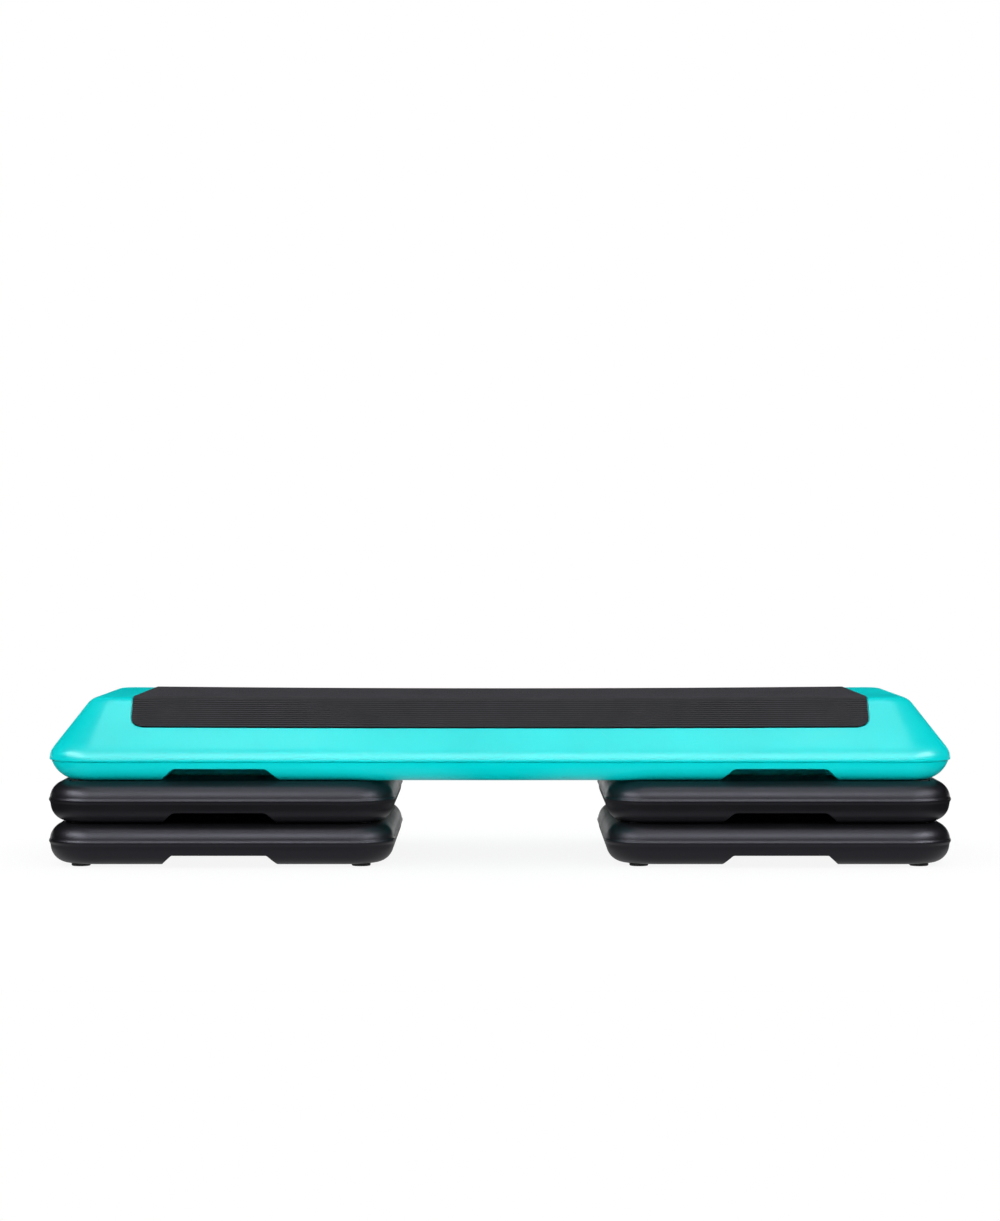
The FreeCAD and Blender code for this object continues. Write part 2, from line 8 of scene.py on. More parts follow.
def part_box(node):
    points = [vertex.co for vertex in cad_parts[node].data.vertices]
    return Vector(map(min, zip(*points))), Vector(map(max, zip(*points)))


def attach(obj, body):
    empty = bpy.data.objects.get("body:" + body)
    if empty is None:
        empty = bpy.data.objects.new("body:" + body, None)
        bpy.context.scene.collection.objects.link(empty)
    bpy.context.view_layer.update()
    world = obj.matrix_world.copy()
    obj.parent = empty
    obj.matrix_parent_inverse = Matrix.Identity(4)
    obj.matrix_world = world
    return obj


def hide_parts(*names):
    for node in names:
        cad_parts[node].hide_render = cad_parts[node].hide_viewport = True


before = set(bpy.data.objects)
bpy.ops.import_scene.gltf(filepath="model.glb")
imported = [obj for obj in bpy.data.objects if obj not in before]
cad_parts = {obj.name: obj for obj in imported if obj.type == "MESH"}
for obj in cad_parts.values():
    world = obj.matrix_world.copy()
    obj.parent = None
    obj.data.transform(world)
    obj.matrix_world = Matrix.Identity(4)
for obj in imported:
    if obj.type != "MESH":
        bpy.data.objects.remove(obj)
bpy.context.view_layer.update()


# Risers: four square stacking pillows of black polyethylene, blow-moulded in two halves that meet at a
# rim. Hand-holds are moulded into the bottom edge, pockets weld the floor to the top, and dimples in
# the top take the feet of the piece above.
SIDES = {"left": -1.0, "right": 1.0}
FRONT_AND_BACK = (-1.0, 1.0)
TIERS = ("lower", "upper")
RISER_SIDE = 0.422
RISER_HEIGHT = 0.0500
RISER_CORNER = 0.060
CORNER_STEPS = 18
RIM_HEIGHT = 0.0266
RIM_REACH = 0.0011
# The bead along the rim, as heights over the rim and how far in the skin is there.
RIM_BEAD = {
    -0.0044: 0.0017, -0.0034: 0.0014, -0.0020: 0.0007, -0.0010: 0.00017, 0.0: 0.0,
    0.0008: 0.0001, 0.0016: 0.0004, 0.0024: 0.00085, 0.0030: 0.00125,
}
BULGE_ROUND = 0.023
BULGE_START = 10.0
BULGE_STEPS = 14
WALL_DRAFT = 8.0
WALL_ROUND = 0.022
WALL_STEPS = 12
NOTCH_ROOF = 0.112
NOTCH_SLANT = 1.077
NOTCH_HEIGHT = 0.013
NOTCH_REACH = 0.31
NOTCH_CORNER = 0.0042
NOTCH_STEPS = 5
FOOT_INSET = 0.041
DIMPLE_RADIUS = 0.0135
DIMPLE_DEPTH = 0.0029
DIMPLE_STEPS = 32
POCKET_CORNER = 0.016
POCKET_STEPS = 6
POCKET_DRAFT = 8.0
POCKET_SLOPE = math.tan(math.radians(POCKET_DRAFT))
POCKET_START = 0.001
RISER_POCKET = 0.075
RISER_POCKET_PLACE = 0.1235
RISER_POCKET_ROWS = 0.0625
RISER_POCKET_DEPTH = 0.109
RISER_POCKET_HEIGHT = 0.044
MERGE_DISTANCE = 2e-5
CUT_ANGLE = 0.7
CUT_EDGE = 0.0012
CUT_EDGE_STEPS = 3
CREASE_ANGLE = 40.0
FLAT_FACE_WEIGHT = 80


def add_outline(shape, length, depth, corner, height):
    """Add a flat rounded rectangle and give its face."""
    known = set(shape.faces)
    corners = bmesh.ops.create_grid(shape, x_segments=1, y_segments=1, size=0.5)["verts"]
    bmesh.ops.scale(shape, vec=(length, depth, 1.0), verts=corners)
    bmesh.ops.translate(shape, vec=(0.0, 0.0, height), verts=corners)
    bmesh.ops.bevel(
        shape, geom=corners, offset=corner, offset_type="OFFSET", segments=CORNER_STEPS, profile=0.5,
        affect="VERTICES", material=-1,
    )
    return next(face for face in shape.faces if face not in known)


def loft(levels):
    """Join rounded rectangles, listed from the bottom up, into one closed skin."""
    shape = bmesh.new()
    faces = [add_outline(shape, *level) for level in levels]
    rings = [list(face.edges) for face in faces]
    bmesh.ops.delete(shape, geom=faces[1:-1], context="FACES_ONLY")
    for below, above in zip(rings, rings[1:]):
        bmesh.ops.bridge_loops(shape, edges=below + above)
    bmesh.ops.recalc_face_normals(shape, faces=shape.faces)
    return shape


def arc_points(centre_inset, centre_height, radius, first, last, steps):
    """List the insets and heights along a rounding, from one tilt of its outward face to another."""
    points = []
    for step in range(steps + 1):
        tilt = math.radians(first + (last - first) * step / steps)
        points.append((centre_inset - radius * math.cos(tilt), centre_height + radius * math.sin(tilt)))
    return points


def foot_arc(wall_inset, wall_height, draft, radius, steps):
    """List the insets and heights of a wall's foot, where it has leaned in and is rounded under."""
    lean = math.radians(draft)
    tangent = radius * (1.0 - math.sin(lean))
    centre = wall_inset + (wall_height - tangent) * math.tan(lean) + radius * math.cos(lean)
    return arc_points(centre, radius, radius, -90.0, -draft, steps)


def edges_of(corners):
    """List the edges that meet at some corners, each of them once."""
    return list(dict.fromkeys(edge for corner in corners for edge in corner.link_edges))


def add_notch(shape, across, front, reach, height):
    """Add the block that cuts one hand-hold: wide at the bottom, with its roof corners rounded."""
    block = bmesh.ops.create_cube(shape, size=1.0)["verts"]
    roof = [corner for corner in block if corner.co.z > 0.0]
    mouth = [corner for corner in block if corner.co.z < 0.0]
    run = 2.0 * reach
    bmesh.ops.scale(shape, vec=(NOTCH_ROOF, run, 2.0 * height), verts=roof)
    bmesh.ops.scale(shape, vec=(NOTCH_ROOF + 4.0 * NOTCH_SLANT * height, run, 2.0 * height), verts=mouth)
    bmesh.ops.translate(shape, vec=(across, front, 0.0), verts=block)
    along = [edge for edge in edges_of(roof) if abs(edge.verts[0].co.y - edge.verts[1].co.y) > reach]
    bmesh.ops.bevel(
        shape, geom=along, offset=NOTCH_CORNER, offset_type="OFFSET", segments=NOTCH_STEPS, profile=0.5,
        affect="EDGES", material=-1,
    )


def add_pocket(shape, across, along, length, depth, height):
    """Add the tapered block that cuts one welded pocket up from the floor of a shell."""
    block = bmesh.ops.create_cube(shape, size=1.0)["verts"]
    for corner in block:
        level = height if corner.co.z > 0.0 else -POCKET_START
        drawn_in = 2.0 * POCKET_SLOPE * level
        corner.co.x = math.copysign((length - drawn_in) / 2.0, corner.co.x) + across
        corner.co.y = math.copysign((depth - drawn_in) / 2.0, corner.co.y) + along
        corner.co.z = level
    uprights = []
    for edge in edges_of(block):
        if abs(edge.verts[0].co.z - edge.verts[1].co.z) > height / 2.0:
            uprights.append(edge)
    bmesh.ops.bevel(
        shape, geom=uprights, offset=POCKET_CORNER, offset_type="OFFSET", segments=POCKET_STEPS, profile=0.5,
        affect="EDGES", material=-1,
    )


def to_mesh(shape, name):
    """Hand a finished shape over to a smooth-shaded mesh."""
    mesh = bpy.data.meshes.new(name)
    shape.to_mesh(mesh)
    shape.free()
    mesh.shade_smooth()
    return mesh


def to_piece(mesh, name):
    """Put a mesh into the scene under its own name."""
    piece = bpy.data.objects.new(name, mesh)
    bpy.context.scene.collection.objects.link(piece)
    return piece


def cut_away(shape, cutter):
    """Take the cutter out of a skin and give the skin back."""
    bmesh.ops.recalc_face_normals(cutter, faces=cutter.faces)
    whole = to_piece(to_mesh(shape, "whole"), "whole")
    tool = to_piece(to_mesh(cutter, "tool"), "tool")
    cut = whole.modifiers.new("cut", "BOOLEAN")
    cut.operation = "DIFFERENCE"
    cut.solver = "EXACT"
    cut.object = tool
    left = bmesh.new()
    left.from_object(whole, bpy.context.evaluated_depsgraph_get())
    for used in (whole, tool):
        mesh = used.data
        bpy.data.objects.remove(used)
        bpy.data.meshes.remove(mesh)
    bmesh.ops.remove_doubles(left, verts=left.verts, dist=MERGE_DISTANCE)
    bmesh.ops.dissolve_degenerate(left, edges=left.edges, dist=MERGE_DISTANCE)
    return left


def soften(shape, kept_from, kept_to):
    """Round the sharp edges that the cuts left, all but those between two heights."""
    sharp = []
    for edge in shape.edges:
        middle = (edge.verts[0].co.z + edge.verts[1].co.z) / 2.0
        if len(edge.link_faces) == 2 and edge.calc_face_angle() > CUT_ANGLE:
            if not kept_from < middle < kept_to:
                sharp.append(edge)
    bmesh.ops.bevel(
        shape, geom=sharp, offset=CUT_EDGE, offset_type="OFFSET", segments=CUT_EDGE_STEPS, profile=0.5,
        affect="EDGES", clamp_overlap=True, material=-1,
    )


def weigh_normals(piece):
    """Keep broad faces flat where they meet small rounded ones, and creases crisp."""
    piece.data.set_sharp_from_angle(angle=math.radians(CREASE_ANGLE))
    weighted = piece.modifiers.new("flat faces", "WEIGHTED_NORMAL")
    weighted.keep_sharp = True
    weighted.weight = FLAT_FACE_WEIGHT


riser_line = foot_arc(RIM_REACH, RIM_HEIGHT, WALL_DRAFT, WALL_ROUND, WALL_STEPS)
riser_line += [(inset, RIM_HEIGHT + rise) for rise, inset in RIM_BEAD.items()]
riser_line += arc_points(
    RIM_REACH + BULGE_ROUND, RISER_HEIGHT - BULGE_ROUND, BULGE_ROUND, BULGE_START, 90.0, BULGE_STEPS,
)
riser = loft([
    (RISER_SIDE - 2.0 * inset, RISER_SIDE - 2.0 * inset, RISER_CORNER - inset, height)
    for inset, height in riser_line
])
hollows = bmesh.new()
foot_offset = RISER_SIDE / 2.0 - FOOT_INSET
for front_sign in FRONT_AND_BACK:
    add_notch(hollows, 0.0, front_sign * RISER_SIDE / 2.0, RISER_SIDE * NOTCH_REACH, NOTCH_HEIGHT)
    for side_sign in SIDES.values():
        across = side_sign * RISER_POCKET_PLACE
        along = front_sign * RISER_POCKET_ROWS
        add_pocket(hollows, across, along, RISER_POCKET, RISER_POCKET_DEPTH, RISER_POCKET_HEIGHT)
        seat = Matrix.Translation((side_sign * foot_offset, front_sign * foot_offset, RISER_HEIGHT))
        bmesh.ops.create_cone(
            hollows, cap_ends=True, segments=DIMPLE_STEPS, radius1=DIMPLE_RADIUS, radius2=DIMPLE_RADIUS,
            depth=2.0 * DIMPLE_DEPTH, matrix=seat,
        )
riser = cut_away(riser, hollows)
soften(riser, RIM_HEIGHT + min(RIM_BEAD), RIM_HEIGHT + max(RIM_BEAD))
riser_mesh = to_mesh(riser, "riser")

risers = []
for side in SIDES:
    for tier in TIERS:
        node = f"{side}_{tier}_riser"
        low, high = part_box(node)
        mesh = riser_mesh.copy()
        mesh.transform(Matrix.Translation(((low.x + high.x) / 2.0, 0.0, low.z)))
        piece = to_piece(mesh, f"{node}_moulding")
        weigh_normals(piece)
        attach(piece, f"{node}_body")
        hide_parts(node)
        risers.append(piece)

PLASTIC_IOR = 1.5
FULL_RANGE = (0.0, 1.0)
NOISE_MIDDLE = (0.3, 0.7)
PEBBLES = 900.0
FINE_GRAIN = 1500.0
GRAIN_DEPTH = 0.0001
TONE_CLOUDS = 7.0
TONE_RANGE = (0.93, 1.05)
SCRATCH_SPACING = (9.0, 60.0, 60.0)
SCRATCH_TURN = (0.2, 0.3, 0.5)
SCRATCH_WIDTH = 0.012
SCUFF_CLOUDS = 16.0
SCUFF_CLOUD_EDGE = (0.55, 0.75)
SCUFF_STRENGTH = 0.35
SCUFF_DULLNESS = 0.3
RUBBED_RANGE = (-0.04, 0.05)


def new_group(name, sockets):
    """Start a shader group with the sockets it is given."""
    group = bpy.data.node_groups.new(name, "ShaderNodeTree")
    for label, way, kind in sockets:
        group.interface.new_socket(name=label, in_out=way, socket_type=f"NodeSocket{kind}")
    return group, group.nodes.new("NodeGroupInput"), group.nodes.new("NodeGroupOutput")


def add_node(tree, kind, links=None, **settings):
    """Add a node, set it up and wire its inputs."""
    node = tree.nodes.new(f"ShaderNode{kind}")
    for name, value in settings.items():
        setattr(node, name, value)
    for socket, value in (links or {}).items():
        if isinstance(value, bpy.types.NodeSocket):
            tree.links.new(value, node.inputs[socket])
        else:
            node.inputs[socket].default_value = value
    return node


def remap(tree, value, given, wanted):
    """Carry a value over from the given range to the wanted one, and no further."""
    ends = {0: value, 1: given[0], 2: given[1], 3: wanted[0], 4: wanted[1]}
    return add_node(tree, "MapRange", ends).outputs[0]


def work_out(tree, operation, *values):
    """Put plain values together with one step of arithmetic."""
    return add_node(tree, "Math", dict(enumerate(values)), operation=operation).outputs[0]


def make_moulded_skin():
    """Pebbled mould grain, slow changes of tone and a few light scuffs."""
    group, given, result = new_group("moulded_skin", (
        ("Place", "INPUT", "Vector"), ("Colour", "INPUT", "Color"), ("Scuff Colour", "INPUT", "Color"),
        ("Dullness", "INPUT", "Float"),
        ("Colour", "OUTPUT", "Color"), ("Roughness", "OUTPUT", "Float"), ("Height", "OUTPUT", "Float"),
    ))
    place = given.outputs["Place"]
    pebbles = add_node(group, "TexVoronoi", {"Vector": place, "Scale": PEBBLES}, feature="SMOOTH_F1")
    fine = add_node(group, "TexNoise", {"Vector": place, "Scale": FINE_GRAIN, "Detail": 2.0})
    height = work_out(group, "ADD", pebbles.outputs["Distance"], fine.outputs["Fac"])
    clouds = add_node(group, "TexNoise", {"Vector": place, "Scale": TONE_CLOUDS, "Detail": 4.0})
    tone = remap(group, clouds.outputs["Fac"], NOISE_MIDDLE, TONE_RANGE)
    toned = add_node(group, "VectorMath", {0: given.outputs["Colour"], 3: tone}, operation="SCALE")
    drawn_out = add_node(
        group, "Mapping", {"Vector": place, "Scale": SCRATCH_SPACING, "Rotation": SCRATCH_TURN},
    )
    scratch = add_node(
        group, "TexVoronoi", {"Vector": drawn_out.outputs[0], "Scale": 1.0}, feature="DISTANCE_TO_EDGE",
    )
    line = remap(group, scratch.outputs["Distance"], (0.0, SCRATCH_WIDTH), (1.0, 0.0))
    patch = add_node(group, "TexNoise", {"Vector": place, "Scale": SCUFF_CLOUDS, "Detail": 3.0})
    patchy = remap(group, patch.outputs["Fac"], SCUFF_CLOUD_EDGE, (0.0, SCUFF_STRENGTH))
    scuff = work_out(group, "MULTIPLY", line, patchy)
    colour = add_node(
        group, "Mix", {0: scuff, 6: toned.outputs[0], 7: given.outputs["Scuff Colour"]}, data_type="RGBA",
    )
    rubbed = remap(group, patch.outputs["Fac"], NOISE_MIDDLE, RUBBED_RANGE)
    dull = work_out(group, "ADD", given.outputs["Dullness"], rubbed)
    rough = work_out(group, "MULTIPLY_ADD", scuff, SCUFF_DULLNESS, dull)
    group.links.new(colour.outputs[2], result.inputs["Colour"])
    group.links.new(rough, result.inputs["Roughness"])
    group.links.new(height, result.inputs["Height"])
    return group


moulded_skin = make_moulded_skin()


def moulded_plastic(name, colour, scuff_colour, dullness, shine, shine_colour, grain):
    """A satin polyethylene skin in one colour."""
    material = bpy.data.materials.new(name)
    material.use_nodes = True
    tree = material.node_tree
    shader = tree.nodes["Principled BSDF"]
    shader.inputs["IOR"].default_value = PLASTIC_IOR
    shader.inputs["Specular IOR Level"].default_value = shine
    shader.inputs["Specular Tint"].default_value = (*shine_colour, 1.0)
    place = add_node(tree, "TexCoord")
    skin = tree.nodes.new("ShaderNodeGroup")
    skin.node_tree = moulded_skin
    tree.links.new(place.outputs["Object"], skin.inputs["Place"])
    skin.inputs["Colour"].default_value = (*colour, 1.0)
    skin.inputs["Scuff Colour"].default_value = (*scuff_colour, 1.0)
    skin.inputs["Dullness"].default_value = dullness
    bump = add_node(
        tree, "Bump", {"Strength": grain, "Distance": GRAIN_DEPTH, "Height": skin.outputs["Height"]},
    )
    tree.links.new(skin.outputs["Colour"], shader.inputs["Base Color"])
    tree.links.new(skin.outputs["Roughness"], shader.inputs["Roughness"])
    tree.links.new(bump.outputs["Normal"], shader.inputs["Normal"])
    return material


black_plastic = moulded_plastic(
    "black_plastic", colour=(0.005, 0.005, 0.006), scuff_colour=(0.04, 0.04, 0.044), dullness=0.40,
    shine=0.47, shine_colour=(0.85, 0.84, 1.0), grain=0.35,
)
for piece in risers:
    piece.data.materials.append(black_plastic)


# Feet: turned rubber discs with a barbed stem, pushed through a hole in the shell above them. Eight
# stand on the floor and the others drop into dimples.
FOOT_MOTTLE = 260.0
FOOT_TONES = ((0.012, 0.012, 0.013), (0.035, 0.035, 0.037))
FOOT_ROUGHNESS = (0.5, 0.75)
FOOT_GRAIN = 0.3
FOOT_GRAIN_DEPTH = 0.0002


def make_foot_rubber():
    """Matt black rubber, mottled in tone and roughness."""
    material = bpy.data.materials.new("foot_rubber")
    material.use_nodes = True
    tree = material.node_tree
    shader = tree.nodes["Principled BSDF"]
    place = add_node(tree, "TexCoord").outputs["Object"]
    noise = add_node(tree, "TexNoise", {"Vector": place, "Scale": FOOT_MOTTLE, "Detail": 5.0})
    mottle = noise.outputs["Fac"]
    colour = add_node(tree, "ValToRGB", {"Fac": mottle})
    for stop, tone in zip(colour.color_ramp.elements, FOOT_TONES):
        stop.color = (*tone, 1.0)
    rough = remap(tree, mottle, FULL_RANGE, FOOT_ROUGHNESS)
    bump = add_node(tree, "Bump", {"Strength": FOOT_GRAIN, "Distance": FOOT_GRAIN_DEPTH, "Height": mottle})
    tree.links.new(colour.outputs["Color"], shader.inputs["Base Color"])
    tree.links.new(rough, shader.inputs["Roughness"])
    tree.links.new(bump.outputs["Normal"], shader.inputs["Normal"])
    return material


foot_rubber = make_foot_rubber()
for node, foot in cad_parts.items():
    if "_foot_" in node:
        foot.data.materials.clear()
        foot.data.materials.append(foot_rubber)


# Platform: one long blow-moulding of teal polyethylene. A lipped parting line runs round it, the skirt
# below is rounded under, and four slopes rise to a deck that has sunk a little between its ends as it
# cooled. A recess over the deck and down both long slopes takes the mat.
PLATFORM_LENGTH = 1.098
PLATFORM_DEPTH = 0.416
PLATFORM_HEIGHT = 0.1001
PLATFORM_CORNER = 0.060
PARTING_HEIGHT = 0.0236
LIP_REACH = 0.0025
# The groove and the lip over it, as heights over the parting line and how far in the skin is there.
LIP_LINE = {
    -0.0007: 0.0028, -0.0006: 0.0042, 0.0006: 0.0042, 0.0007: 0.0012, 0.0011: 0.0005, 0.0015: 0.00015,
}
LIP_BAND = 0.001
LIP_CROWN = 0.0256
END_LEAN = 0.0
SIDE_LEAN = 0.20
SLOPE_FOOT = 0.0332
# Where the slopes get their rings: heights over the lip's crown, then drops below the deck.
SLOPE_RISES = (0.0, 0.0016, 0.0036, 0.006, 0.009, 0.012, 0.0155, 0.02)
SLOPE_DROPS = (0.0105, 0.0088, 0.007)
SKIRT_DRAFT = 24.0
SKIRT_ROUND = 0.034
SKIRT_STEPS = 11
END_SLOPE = 0.0504
SIDE_SLOPE = 0.060
CREST_CORNER = 0.025
CREST_ROUND = 0.016
END_CREST_ROUND = 0.022
BEND_STEPS = 8
PLATFORM_NOTCH = 0.0152
DECK_SAG = 0.0029
SAG_STEPS = 18
MAT_LENGTH = 0.8952
MAT_DROP = 0.0349
MAT_CORNER = 0.014
MAT_CORNER_STEPS = 8
MAT_GAP = 0.0006
MAT_THICKNESS = 0.003
MAT_PROUD = 0.0012
RECESS_CLEAR = 0.02
RECESS_EDGE = 0.0008
RECESS_EDGE_STEPS = 2
RECESS_ANGLE = 1.0
CLOSE = 1e-6
END_POCKET = 0.075
END_POCKET_PLACE = 0.462
DECK_POCKET = 0.11425
DECK_POCKET_PITCH = 0.13025
DECK_POCKETS = 4
POCKET_ROWS = 0.061
POCKET_DEPTH = 0.106
POCKET_HEIGHT = 0.0921
right_low, right_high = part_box("right_lower_riser")
riser_centre = (right_low.x + right_high.x) / 2.0
slope_angle = math.atan2(PLATFORM_HEIGHT - SLOPE_FOOT, SIDE_SLOPE)
half_deck = PLATFORM_DEPTH / 2.0 - SIDE_SLOPE - CREST_ROUND * math.tan(slope_angle / 2.0)


def slope_inset(height, run, lean, crest_round):
    """How far in a slope is at one height: curved out of the lip, straight, then rounded into the deck."""
    angle = math.atan2(PLATFORM_HEIGHT - SLOPE_FOOT, run)
    steady = 1.0 / math.tan(angle)
    centre = PLATFORM_HEIGHT - crest_round
    if height > centre + crest_round * math.cos(angle):
        level = max(crest_round ** 2 - (height - centre) ** 2, 0.0)
        return run + crest_round * math.tan(angle / 2.0) - math.sqrt(level)
    risen = height - LIP_CROWN
    curved = 2.0 * steady * (SLOPE_FOOT - LIP_CROWN) / (steady - lean)
    if risen > curved:
        return (height - SLOPE_FOOT) * steady
    return lean * risen + (steady - lean) * risen ** 2 / (2.0 * curved)


def slope_level(height):
    """The outline of the slopes at one height."""
    share = (height - LIP_CROWN) / (PLATFORM_HEIGHT - LIP_CROWN)
    end_inset = slope_inset(height, END_SLOPE, END_LEAN, END_CREST_ROUND)
    side_inset = slope_inset(height, SIDE_SLOPE, SIDE_LEAN, CREST_ROUND)
    rounded_in = max(side_inset - (height - SLOPE_FOOT) / math.tan(slope_angle), 0.0) * share
    corner = PLATFORM_CORNER + (CREST_CORNER - PLATFORM_CORNER) * share - rounded_in
    return (PLATFORM_LENGTH - 2.0 * end_inset, PLATFORM_DEPTH - 2.0 * side_inset, corner, height)


def sag(height_share, along):
    """How far the deck has sunk: most at mid-length, nothing at its ends or at the foot of the slopes."""
    reach = min(abs(along) / (PLATFORM_LENGTH / 2.0 - END_SLOPE), 1.0)
    return DECK_SAG * max(min(height_share, 1.0), 0.0) * (1.0 - reach ** 2)


def sink_deck(shape):
    """Divide a mesh along the platform and let it sag with the deck."""
    for number in range(1, SAG_STEPS):
        across = (number / SAG_STEPS - 0.5) * PLATFORM_LENGTH
        everything = list(shape.verts) + list(shape.edges) + list(shape.faces)
        bmesh.ops.bisect_plane(
            shape, geom=everything, dist=CLOSE, plane_co=(across, 0.0, 0.0), plane_no=(1.0, 0.0, 0.0),
        )
    for point in shape.verts:
        share = (point.co.z - SLOPE_FOOT) / (PLATFORM_HEIGHT - SLOPE_FOOT)
        point.co.z -= sag(share, point.co.x)


def add_recess(shape):
    """Add the block that cuts the mat's recess: the band over the deck and down both long slopes."""
    sunk = MAT_THICKNESS - MAT_PROUD
    drop = MAT_DROP + MAT_GAP
    reach = CREST_ROUND - sunk
    half = []
    for step in range(BEND_STEPS + 1):
        turn = slope_angle * step / BEND_STEPS
        half.append((
            half_deck + reach * math.sin(turn),
            PLATFORM_HEIGHT - CREST_ROUND + reach * math.cos(turn),
        ))
    foot_y = PLATFORM_DEPTH / 2.0 - SIDE_SLOPE + drop / math.tan(slope_angle) - sunk * math.sin(slope_angle)
    foot_z = PLATFORM_HEIGHT - drop - sunk * math.cos(slope_angle)
    out_y = foot_y + RECESS_CLEAR * math.sin(slope_angle)
    out_z = foot_z + RECESS_CLEAR * math.cos(slope_angle)
    half += [(foot_y, foot_z), (out_y, out_z), (half_deck, PLATFORM_HEIGHT + RECESS_CLEAR)]
    start = -MAT_LENGTH / 2.0 - MAT_GAP
    corners = [shape.verts.new((start, y, z)) for y, z in half]
    corners += [shape.verts.new((start, -y, z)) for y, z in reversed(half)]
    end_face = shape.faces.new(corners)
    grown = bmesh.ops.extrude_face_region(shape, geom=[end_face])["geom"]
    far_end = [item for item in grown if isinstance(item, bmesh.types.BMVert)]
    bmesh.ops.translate(shape, vec=(-2.0 * start, 0.0, 0.0), verts=far_end)
    posts = []
    for edge in shape.edges:
        lower, upper = sorted(edge.verts, key=lambda point: point.co.z)
        upright = abs(lower.co.x - upper.co.x) < CLOSE
        if upright and abs(lower.co.z - foot_z) < CLOSE and abs(upper.co.z - out_z) < CLOSE:
            posts.append(edge)
    bmesh.ops.bevel(
        shape, geom=posts, offset=MAT_CORNER + MAT_GAP, offset_type="OFFSET", segments=MAT_CORNER_STEPS,
        profile=0.5, affect="EDGES", material=-1,
    )


def soften_recess(shape):
    """Round the rim where the recess meets the deck and the slopes."""
    rim = []
    for edge in shape.edges:
        lowest = min(edge.verts[0].co.z, edge.verts[1].co.z)
        if lowest > SLOPE_FOOT and len(edge.link_faces) == 2:
            if edge.calc_face_angle_signed() > RECESS_ANGLE:
                rim.append(edge)
    bmesh.ops.bevel(
        shape, geom=rim, offset=RECESS_EDGE, offset_type="OFFSET", segments=RECESS_EDGE_STEPS, profile=0.5,
        affect="EDGES", clamp_overlap=True, material=-1,
    )


platform_line = foot_arc(LIP_REACH, PARTING_HEIGHT, SKIRT_DRAFT, SKIRT_ROUND, SKIRT_STEPS)
platform_line += [(inset, PARTING_HEIGHT + rise) for rise, inset in LIP_LINE.items()]
levels = [
    (PLATFORM_LENGTH - 2.0 * inset, PLATFORM_DEPTH - 2.0 * inset, PLATFORM_CORNER - inset, height)
    for inset, height in platform_line
]
levels += [slope_level(LIP_CROWN + rise) for rise in SLOPE_RISES]
levels += [slope_level(PLATFORM_HEIGHT - drop) for drop in SLOPE_DROPS]
first_tilt = math.pi / 2.0 - slope_angle
for step in range(BEND_STEPS + 1):
    tilt = first_tilt + slope_angle * step / BEND_STEPS
    levels.append(slope_level(PLATFORM_HEIGHT - CREST_ROUND * (1.0 - math.sin(tilt))))
platform = loft(levels)
hollows = bmesh.new()
for side_sign in SIDES.values():
    for front_sign in FRONT_AND_BACK:
        front = front_sign * PLATFORM_DEPTH / 2.0
        add_notch(hollows, side_sign * riser_centre, front, PLATFORM_DEPTH * NOTCH_REACH, PLATFORM_NOTCH)
pockets = {side_sign * END_POCKET_PLACE: END_POCKET for side_sign in SIDES.values()}
for number in range(DECK_POCKETS):
    pockets[(number - (DECK_POCKETS - 1) / 2.0) * DECK_POCKET_PITCH] = DECK_POCKET
for across, length in pockets.items():
    for front_sign in FRONT_AND_BACK:
        add_pocket(hollows, across, front_sign * POCKET_ROWS, length, POCKET_DEPTH, POCKET_HEIGHT)
platform = cut_away(platform, hollows)
soften(platform, PARTING_HEIGHT - LIP_BAND, SLOPE_FOOT)
recess = bmesh.new()
add_recess(recess)
platform = cut_away(platform, recess)
soften_recess(platform)
sink_deck(platform)
platform_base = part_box("platform_shell")[0].z
bmesh.ops.translate(platform, vec=(0.0, 0.0, platform_base), verts=platform.verts)
platform_shell = to_piece(to_mesh(platform, "platform_moulding"), "platform_moulding")
weigh_normals(platform_shell)
teal_plastic = moulded_plastic(
    "teal_plastic", colour=(0.0, 0.70, 0.71), scuff_colour=(0.10, 0.80, 0.82), dullness=0.34,
    shine=0.5, shine_colour=(1.0, 1.0, 1.0), grain=0.25,
)
platform_shell.data.materials.append(teal_plastic)
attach(platform_shell, "platform_body")
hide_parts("platform_shell")


# Grip mat: one sheet of black rubber, ribbed along its length, heat-fixed in a recess of the deck and
# folded over both long crests.
RIB_HEIGHT = 0.0009
RIBS = 121
# Half a rib, from its middle out, as shares of the pitch and of the height.
RIB_LINE = ((0.0, 1.0), (0.17, 1.0), (0.25, 0.88), (0.35, 0.0), (0.5, 0.0))
RIB_STEPS = 2 * (len(RIB_LINE) - 1)
RIB_CREASE_ANGLE = 50.0
MAT_SHINE = 0.2
MAT_MOTTLE = 38.0
MAT_SPECKS = 1400.0
MAT_TONES = {0.3: (0.020, 0.020, 0.023), 0.7: (0.039, 0.038, 0.044)}
MAT_ROUGHNESS = (0.62, 0.78)
MAT_GRAIN = 0.4
# How the colour is scaled from the valleys to the tops of the ribs: painted shade between the ribs.
RIB_FLANK = (0.3, 0.95)
RIB_PAINTED_SHADE = (0.3, 1.2)
valley = MAT_PROUD - RIB_HEIGHT
bend = CREST_ROUND + valley
half_run = half_deck + bend * slope_angle - CREST_ROUND * math.tan(slope_angle / 2.0)
half_run += MAT_DROP / math.sin(slope_angle) - MAT_GAP
rib_pitch = 2.0 * half_run / RIBS


